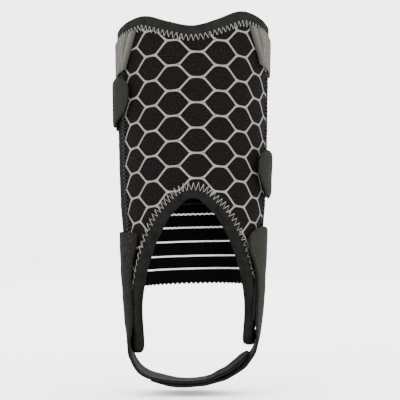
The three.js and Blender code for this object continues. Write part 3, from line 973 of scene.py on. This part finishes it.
# Folded ends of the webbing: height of the ridge, and how far from the end the ridge, the painted
# highlight on its top, the seam and the second bulge are
RIDGE_HEIGHT = 1.3
RIDGE_AT = 3.4
HIGHLIGHT_AT = 4.4
SEAM_AT = 7.6
BULGE_AT = 10.6


def top_strap_edge(angle):
    below = TOP_BINDING_WIDTH + LAYER_GAP
    if abs(180 - angle) >= 180 - PANEL_HALF_ANGLE:
        return top_height(angle - 360 if angle > 180 else angle) - below
    across = (angle - PANEL_HALF_ANGLE) / (360 - 2 * PANEL_HALF_ANGLE)
    return mix(top_height(PANEL_HALF_ANGLE), top_height(-PANEL_HALF_ANGLE), across) - below


def top_strap_place(u, v):
    front = TOP_STRAP_FRONT + TOP_STRAP_SLANT * (1 - v)
    angle = mix(front, 360 - front, u)
    turn = min(angle, 360 - angle)
    band_front = PANEL_HALF_ANGLE - degrees(LEFT_BAND_WIDTH / ANKLE_RADIUS)
    lift = mix(LAYER_GAP, OVER_BINDING, smoothstep(turn, TOP_STRAP_FRONT, band_front))
    return angle, top_strap_edge(angle) - TOP_STRAP_WIDTH * (1 - v), lift


def top_strap():
    """Grey webbing whose slanted ends are folded under and sewn down beside a thick ridge."""
    cloth = Cloth()
    length = (360 - 2 * TOP_STRAP_FRONT - TOP_STRAP_SLANT) * radians(TOP_STRAP_RADIUS)

    def point(u, v, face):
        angle, height, lift = top_strap_place(u, v)
        side = from_ends(u, length)
        skin = skin_lift(lift, STRAP_WALL, face, min(from_ends(v, TOP_STRAP_WIDTH), side))
        if face:
            skin += RIDGE_HEIGHT * exp(-((side - RIDGE_AT) / 1.7) ** 2)
            skin -= 0.5 * exp(-(side - SEAM_AT) ** 2)
            skin += RIDGE_HEIGHT * 0.4 * exp(-((side - BULGE_AT) / 2.2) ** 2)
        return on_leg(angle, height, skin + ripple((u * length, v * 20, face), 9, 0.25, 3.3))

    us = sorted(set([0, 0.0006, 0.002, 0.004] + even(260) + [1, 0.9994, 0.998, 0.996]))
    cloth.shell(us, rimmed(10, TOP_STRAP_WIDTH), point, lambda u, v: (u * length, v * TOP_STRAP_WIDTH))
    piece = make_piece("grey_top_strap", cloth, [webbing_material(length)], ["top_strap"])
    ladder = Cloth()
    for end in (0, 1):
        for share in even(LADDER_STITCHES - 1):
            v = mix(0.1, 0.82, share)
            front = TOP_STRAP_FRONT + TOP_STRAP_SLANT * (1 - v)
            spots = []
            for turn in (LADDER_ANGLE, LADDER_ANGLE + LADDER_REACH):
                u = (turn - front) / (360 - 2 * front)
                angle, height, lift = top_strap_place(abs(end - u), v)
                spot = on_leg(angle, height, lift + STRAP_WALL)
                spots.append((spot, outward(spot)))
            stitch(ladder, spots[0], spots[1], 0.18, 0.24)
    thread = thread_material("grey_thread", (150, 147, 138), (206, 203, 194))
    stitches = make_piece("grey_strap_stitches", ladder, [thread])


# (share of the way from the sewn edge to the tab, lift: -1 level with the panel's wall, 1 outside)
STRAP_LIFT = [(0, -1), (0.1, -0.8), (0.35, 0.4), (0.6, 1), (1, 1)]
UPPER_STRAP = {"from": 1, "width": 34, "start": 78, "end": 78}
LOWER_STRAP = {"from": -1, "width": 33, "start": 40, "end": 33.5}
# Rise of the lower and the upper edge where a strap narrows towards its tab, and a tab towards its tail
STRAP_TAPER = (1.4, -3.4)
TAB_TAPER = (6.5, -3)


def back_strap(name, strap, node):
    """A brushed strap round the back, sewn to one rear edge and fastened over the other."""
    cloth = Cloth()
    width = strap["width"]
    turn = 360 - BUTTED - (PANEL_HALF_ANGLE - 12)
    length = radians(turn) * BACK_STRAP_RADIUS
    sewn = -(PANEL_WALL + STRAP_WALL) / 2

    def point(u, v, face):
        rise = read_table(STRAP_LIFT, u)
        lift = min(OVER_BINDING, -rise * sewn + (1 + rise) * OVER_BINDING) if rise < 0 else OVER_BINDING
        distance = min(from_ends(v, width), (1 - u) * length)
        narrow = smoothstep(u, 0.72, 0.93) * mix(*STRAP_TAPER, v)
        height = mix(strap["start"], strap["end"], u) + width * v + narrow
        skin = skin_lift(lift, STRAP_WALL, face, distance) + ripple((u * length, height, 0), 16, 0.35, 6.1)
        return on_leg(strap["from"] * (BUTTED + turn * u), height, skin)

    cloth.shell(rimmed(130, length), rimmed(12, width), point, lambda u, v: (u * length, v * width))
    piece = make_piece(name, cloth, [strap_material()], [node])


# (share of the tab's width from its lower edge, angle of its free edge)
LEFT_TAB_EDGE = [(0, 79), (0.15, 74), (0.32, 60.5), (0.4, 56.5), (0.54, 53.4), (0.66, 52.3),
                 (0.8, 52.6), (0.92, 56), (1, 65)]
RIGHT_TAB_EDGE = [(0, 72), (0.12, 67), (0.25, 63), (0.37, 59), (0.45, 56.7), (0.59, 54.4),
                  (0.8, 55), (0.92, 57.5), (1, 64)]
LEFT_TAB = {"side": -1, "bottom": 77.6, "width": 36, "edge": LEFT_TAB_EDGE, "flare": 0.2}
RIGHT_TAB = {"side": 1, "bottom": 33, "width": 33.2, "edge": RIGHT_TAB_EDGE, "flare": 1.1}
TAB_TAIL = PANEL_HALF_ANGLE + 8
# Usual length of a tab, for its rims
TAB_REACH = 34
TAB_BULGE = 0.25


def hook_tab(name, tab, node):
    """A stiff brushed tab, sewn across at its tail, its free edge rounded and slightly lifted."""
    cloth = Cloth()

    def place(u, v):
        angle = mix(TAB_TAIL, read_table(tab["edge"], v), u)
        narrow = smoothstep(angle, 64, 94) * mix(*TAB_TAPER, v)
        return angle, tab["bottom"] + tab["width"] * v + narrow

    def point(u, v, face):
        distance = min(from_ends(v, tab["width"]), from_ends(u, TAB_REACH))
        lift = OVER_BINDING + STRAP_WALL + LAYER_GAP + tab["flare"] * u * u
        skin = skin_lift(lift, TAB_WALL, face, distance)
        angle, height = place(u, v)
        skin += TAB_BULGE * face * smoothstep(distance, 0.8, 3.5) + ripple((angle, height, 0), 9, 0.3, 7.7)
        return on_leg(tab["side"] * angle, height, skin)

    cloth.shell(rimmed(44, TAB_REACH), crowded(40), point, lambda u, v: leg_flat(*place(u, v)))
    look = tab_material(name, (23, 24, 22), (51, 53, 48))
    piece = make_piece(name, cloth, [look], [node])
    longest = TAB_TAIL - min(edge for _, edge in tab["edge"])
    length = radians(longest) * (panel_radius(tab["bottom"]) + OVER_BINDING + STRAP_WALL)
    samples = 20
    reaches = [TAB_TAIL - read_table(tab["edge"], (k + 0.5) / samples) for k in range(samples)]


# Stirrup under the foot

STIRRUP_TOP = 12
STIRRUP_HALF_WIDTH = ANKLE_RADIUS + 6.5
STIRRUP_DEPTH = 84.9
TAB_STRAP_TOP = STIRRUP_TOP + 4
# Points of the sling's line, of 100, that the tab strap follows
UNDER_SLING = range(42, 73, 3)
SOLE_WIDTH = 40
SOLE_CENTRE = -2
SOLE_DIP = 2.4
SLING_WALL = 2
TAB_STRAP_WALL = 1.7
PATCH_WALL = 0.8
PATCH_BOTTOM = -45
PATCH_WIDTH = 35
PATCH_ANGLES = (62, 106)
BLEND_START = -40
BLEND_END = -72
FACET_SLACK = 0.15
# How far the rounded ends of the two bands are drawn in at their corners, and the length they bend
SLING_CORNER = 9
TAB_STRAP_CORNER = 8
CORNER_LENGTH = 26
# The start of the tab strap thins out over this length
TAB_STRAP_FEATHER = 14
# Where the sling's grey lining ends under the foot
LINING_END = 9
# Rows of points across a band, and those of its rim on the outer and the inner face
BAND_ROWS = 34
OUTER_RIM = 4
INNER_RIM = (6, 29)
# (side as a share of STIRRUP_HALF_WIDTH, drop as a share of STIRRUP_DEPTH) of the inner faces
SLING_LINE = [
    (-0.956, 0.46), (-0.936, 0.59), (-0.915, 0.7), (-0.886, 0.79), (-0.852, 0.83), (-0.807, 0.877),
    (-0.735, 0.925), (-0.61, 0.965), (-0.44, 0.985), (-0.27, 0.995), (-0.09, 1), (0.1, 0.992),
    (0.25, 0.977), (0.36, 0.95), (0.5, 0.915), (0.68, 0.84), (0.79, 0.788),
]
TAB_STRAP_LINE = [
    (0.42, 0.98), (0.52, 0.955), (0.62, 0.925), (0.72, 0.885), (0.79, 0.84), (0.86, 0.785),
    (0.9, 0.73), (0.93, 0.67), (0.95, 0.6), (0.965, 0.46),
]
# (height as a share of STIRRUP_TOP, angle of the front edge, angle of the rear edge)
SLING_EDGES = [(-6, 61, 104), (-2.5, 60.5, 105), (-0.6, 56, 105), (0, 52, 105), (1, 48, 104)]
TAB_STRAP_EDGES = [(-6, 61, 106), (-3.3, 64, 109), (-1.5, 61, 108), (-0.6, 55, 104), (0, 49, 98),
                   (0.6, 47.5, 94), (1.3, 48.5, 92)]


def spline(knots, count):
    """Evenly spaced points along a smooth curve through the knots."""
    dense = []
    last = len(knots) - 1
    for i in range(last):
        p0, p1, p2, p3 = (Vector(knots[k]) for k in (max(i - 1, 0), i, i + 1, min(i + 2, last)))
        for k in range(40):
            t = k / 40
            pull_in = (p2 - p0) * 0.5
            pull_out = (p3 - p1) * 0.5
            ease = t * t * (3 - 2 * t)
            spot = p1 * (1 - ease) + p2 * ease + pull_in * t * (1 - t) ** 2
            dense.append(spot - pull_out * t * t * (1 - t))
    dense.append(Vector(knots[last]))
    lengths = running_lengths(dense)
    spots = []
    for k in range(count + 1):
        i, part = stretch_at(lengths, lengths[-1] * k / count)
        spots.append(dense[i].lerp(dense[i + 1], part))
    return spots


def stirrup_knots(line):
    return [Vector((side * STIRRUP_HALF_WIDTH, -drop * STIRRUP_DEPTH)) for side, drop in line]


def stirrup_point(spot, normal, v, out, edges, leg_lift):
    """A point of the stirrup: the sole's flat band, blended up the sides into the leg's round."""
    side = 1 if spot.x > 0 else -1
    middle = max(0.0, 1 - (spot.x / (STIRRUP_HALF_WIDTH * 0.75)) ** 2)
    flat = Vector((
        spot.x + normal.x * out,
        SOLE_CENTRE + SOLE_WIDTH * (v - 0.5),
        spot.y + normal.y * out - SOLE_DIP * v * middle * middle,
    ))
    height = max(spot.y, BLEND_END) / STIRRUP_TOP
    angle = side * mix(read_table(edges, height, 1), read_table(edges, height, 2), v)
    return flat.lerp(on_leg(angle, spot.y, leg_lift + out), smoothstep(spot.y, BLEND_END, BLEND_START))


def stirrup_band(name, spots, wall, edges, leg_lift, corner, looks, thread, node, seed,
                 lined=inf, feather=0):
    """A band through the spots of its inner line, its last end rounded by `corner`.

    `looks` are its outer face, its inner face, its rim, and its inner face beyond `lined`
    millimetres. The start thins out over `feather` millimetres.
    """
    cloth = Cloth()
    last = len(spots) - 1
    gone = running_lengths(spots)
    total = gone[-1]

    def point(i, v, face):
        way = (spots[min(i + 1, last)] - spots[max(i - 1, 0)]).normalized()
        shift = corner * smoothstep(gone[i], total - CORNER_LENGTH, total) * (round_end(v) - 1)
        normal = Vector((way.y, -way.x))
        distance = min(from_ends(v, SOLE_WIDTH), gone[i], total - gone[i])
        half = wall / 2 * soft_rim(distance, 0.9)
        out = wall / 2 + (half if face else -half)
        out += ripple((gone[i], v * SOLE_WIDTH, 0), 11, 0.35, seed)
        if gone[i] < feather:
            out *= mix(0.2, 1, smoothstep(gone[i], 0, feather))
        return stirrup_point(spots[i] + way * shift, normal, v, out, edges, leg_lift)

    def face_look(_, j):
        return 2 if min(j, BAND_ROWS - 1 - j) < OUTER_RIM else 0

    def inner_look(i, j):
        if gone[i] > lined:
            return 3
        return 1 if INNER_RIM[0] <= j <= INNER_RIM[1] else 2

    cloth.shell(range(last + 1), crowded(BAND_ROWS), point, lambda i, v: (v * SOLE_WIDTH, gone[i]),
                face_look, inner_look, 2)
    piece = make_piece(name, cloth, looks, [node])
    sewn = Cloth()
    for i in range(6, last - 8, 2):
        for v in (0.07, 0.93):
            ends = [(point(k, v, 1), (point(k, v, 1) - point(k, v, 0)).normalized()) for k in (i, i + 1)]
            stitch(sewn, ends[0], ends[1], 0.14, 0.16)
    stitches = make_piece(f"{name}_stitches", sewn, [thread])


def with_rim(spots, closeness=(0.08, 0.3, 0.7)):
    """The spots with a few more close to both ends, for rounded rims."""
    start_way = (spots[1] - spots[0]).normalized()
    end_way = (spots[-2] - spots[-1]).normalized()
    start = [spots[0] + start_way * gap for gap in closeness]
    end = [spots[-1] + end_way * gap for gap in reversed(closeness)]
    return spots[:1] + start + spots[1:-1] + end + spots[-1:]


def side_spots(side, start, end, count):
    return [Vector((side * STIRRUP_HALF_WIDTH, mix(start, end, share))) for share in even(count)]


def sling_spots():
    curve = spline(stirrup_knots(SLING_LINE), 110)
    return with_rim(side_spots(-1, STIRRUP_TOP, curve[0].y, 34)[:-1] + curve)


def tab_strap_spots():
    """Starts under the sling, follows it and then rises outside the right wing."""
    sling = spline(stirrup_knots(SLING_LINE), 100)
    under = []
    for k in UNDER_SLING:
        way = (sling[k + 1] - sling[k - 1]).normalized()
        under.append(sling[k] + Vector((way.y, -way.x)) * (SLING_WALL + LAYER_GAP + FACET_SLACK))
    curve = spline(under + stirrup_knots(TAB_STRAP_LINE), 100)
    return with_rim(curve[:-1] + side_spots(1, curve[-1].y, TAB_STRAP_TOP, 40))


def stirrup():
    lining = sling_lining_material()
    heather = heather_material()
    edge = tab_material("sling_edge", (18, 18, 16), (40, 40, 36))
    black = thread_material("sling_thread", (10, 10, 10), (30, 29, 28))
    green = thread_material("strap_thread", (52, 54, 48), (86, 88, 80))
    felt = tab_material("green_grey_felt", (28, 29, 26), (58, 59, 53))
    sling = sling_spots()
    lined = sum((b - a).length for a, b in zip(sling, sling[1:]) if b.x < LINING_END)
    stirrup_band("stirrup_sling_cloth", sling, SLING_WALL, SLING_EDGES, OVER_BINDING + FACET_SLACK,
                 SLING_CORNER, [heather, lining, edge, strap_material()], black,
                 "stirrup_sling", 8.0, lined)
    over_patch = OVER_BINDING + PATCH_WALL + LAYER_GAP + FACET_SLACK
    stirrup_band("stirrup_tab_cloth", tab_strap_spots(), TAB_STRAP_WALL, TAB_STRAP_EDGES, over_patch,
                 TAB_STRAP_CORNER, [felt, felt, edge], green, "stirrup_tab_strap",
                 9.0, feather=TAB_STRAP_FEATHER)


def loop_patch():
    cloth = Cloth()
    length = STIRRUP_TOP - PATCH_BOTTOM

    def point(u, v, face):
        skin = skin_lift(OVER_BINDING, PATCH_WALL, face, min(from_ends(u, PATCH_WIDTH), from_ends(v, length)))
        return on_leg(mix(*PATCH_ANGLES, u), PATCH_BOTTOM + length * v, skin)

    cloth.shell(rimmed(30, PATCH_WIDTH), rimmed(30, length), point,
                lambda u, v: (u * PATCH_WIDTH, v * length))
    look = tab_material("loop_pile", (20, 22, 20), (44, 46, 42))
    piece = make_piece("right_loop_cloth", cloth, [look], ["right_loop_patch"])


# Camera, lights and floor

CAMERA_DISTANCE = 1.0
CAMERA_HEIGHT = 0.0333
CAMERA_SIDE = 0.0047
PICTURE_WIDTH = 0.2667
SENSOR_WIDTH = 36
FLOOR_REACH = 3.0
FLOOR_GAP = 0.004
SKY_STRENGTH = 4.4
LIGHTS_AIM = Vector((0, 0, 0.03))
# (name, place, width, power)
LIGHTS = [
    ("key", (-0.7, -1.3, 0.9), 0.6, 11),
    ("front", (0.35, -1.5, 0.16), 0.5, 18),
    ("back", (0.3, 1.2, 0.9), 0.9, 11),
]


def camera():
    data = bpy.data.cameras.new("camera")
    data.sensor_width = SENSOR_WIDTH
    data.lens = SENSOR_WIDTH * CAMERA_DISTANCE / PICTURE_WIDTH
    data.clip_start = 0.01
    seat = add_object("camera", data)
    seat.location = (CAMERA_SIDE, -CAMERA_DISTANCE, CAMERA_HEIGHT)
    seat.rotation_euler = (radians(90), 0, 0)
    bpy.context.scene.camera = seat


def soft_light(name, place, size, power):
    data = bpy.data.lights.new(name, "AREA")
    data.shape = "DISK"
    data.size = size
    data.energy = power
    lamp = add_object(name, data)
    lamp.location = place
    lamp.rotation_euler = (LIGHTS_AIM - Vector(place)).to_track_quat("-Z", "Y").to_euler()


def studio():
    mesh = bpy.data.meshes.new("floor")
    level = cad_bounds[0][2] - FLOOR_GAP
    corners = [(-1, -1), (1, -1), (1, 1), (-1, 1)]
    mesh.from_pydata([(x * FLOOR_REACH, y * FLOOR_REACH, level) for x, y in corners], [], [(0, 1, 2, 3)])
    mesh.materials.append(floor_material())
    add_object("floor", mesh)
    world = bpy.data.worlds.new("studio")
    world.use_nodes = True
    background = world.node_tree.nodes["Background"]
    background.inputs["Color"].default_value = (1, 1, 1, 1)
    background.inputs["Strength"].default_value = SKY_STRENGTH
    bpy.context.scene.world = world
    for light in LIGHTS:
        soft_light(*light)


front_panel()
honeycomb_print()
bindings()
back_elastic()
top_strap()
back_strap("upper_back_strap", UPPER_STRAP, "upper_strap")
back_strap("lower_back_strap", LOWER_STRAP, "lower_strap")
hook_tab("left_hook_tab", LEFT_TAB, "upper_strap_tab")
hook_tab("right_hook_tab", RIGHT_TAB, "lower_strap_tab")
loop_patch()
stirrup()
camera()
studio()
